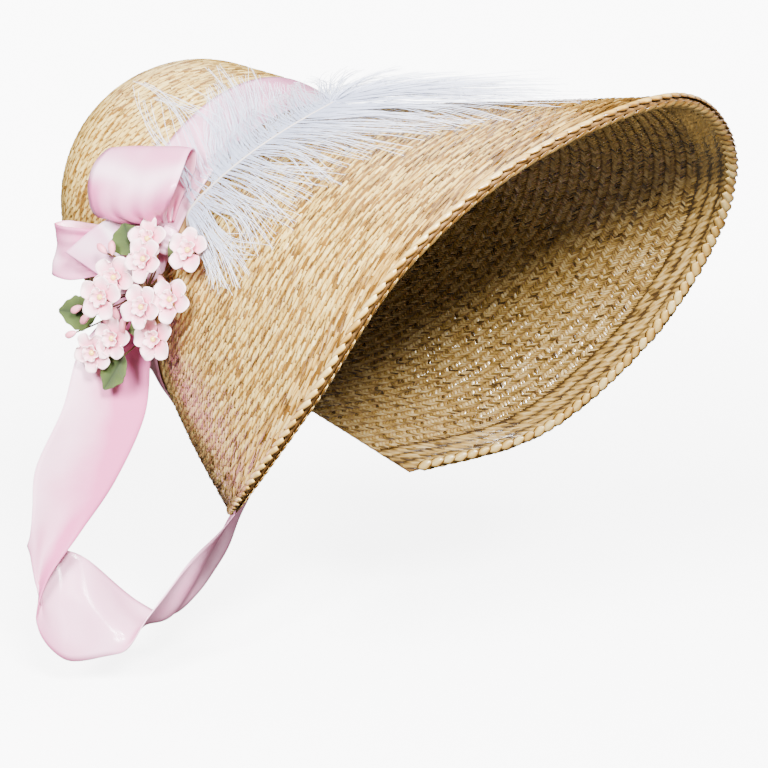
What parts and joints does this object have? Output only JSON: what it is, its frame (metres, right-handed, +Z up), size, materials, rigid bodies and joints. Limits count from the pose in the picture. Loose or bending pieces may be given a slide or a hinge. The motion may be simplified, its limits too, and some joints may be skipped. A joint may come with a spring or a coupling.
{
  "type": "poke bonnet",
  "caption": "Straw poke bonnet with a deep flared brim, domed crown, satin ribbon band, side bow and chin tie, a spray of blossoms and leaves, and a white plume.",
  "frame": {"origin": "top of the head ring on the centre line, where the crown meets the brim and a head carries the bonnet", "axes": "+Z up, the wearer looks along -Y, the wearer's left is +X"},
  "size_m": [0.2914, 0.4262, 0.347],
  "materials": {
    "straw_braid": "golden sewn straw braid with a slight natural gloss",
    "satin_ribbon": "pale pink double-faced satin",
    "petal": "pearly pale pink fabric petals with a yellow middle",
    "leaf": "matt velvety green",
    "stem_wire": "brown wrapped wire",
    "plume": "soft white feather barbs on a pale shaft"
  },
  "bodies": {
    "root": {"crown": "straw_braid", "brim": "straw_braid", "edge_braid": "straw_braid", "crown_band": "satin_ribbon", "bow_upper_loop": "satin_ribbon", "bow_side_loop": "satin_ribbon", "bow_fold": "satin_ribbon", "bow_knot": "satin_ribbon", "chin_tie": "satin_ribbon", "flower_stems": "stem_wire", "blossom_1": "petal", "blossom_2": "petal", "blossom_3": "petal", "blossom_4": "petal", "blossom_5": "petal", "blossom_6": "petal", "blossom_7": "petal", "blossom_8": "petal", "blossom_9": "petal", "blossom_10": "petal", "bud_1": "petal", "bud_2": "petal", "bud_3": "petal", "bud_4": "petal", "bud_5": "petal", "bud_6": "petal", "bud_7": "petal", "bud_8": "petal", "bud_9": "petal", "bud_10": "petal", "bud_11": "petal", "leaf_1": "leaf", "leaf_2": "leaf", "leaf_3": "leaf", "leaf_4": "leaf", "leaf_5": "leaf", "plume": "plume"}
  },
  "joints": []
}
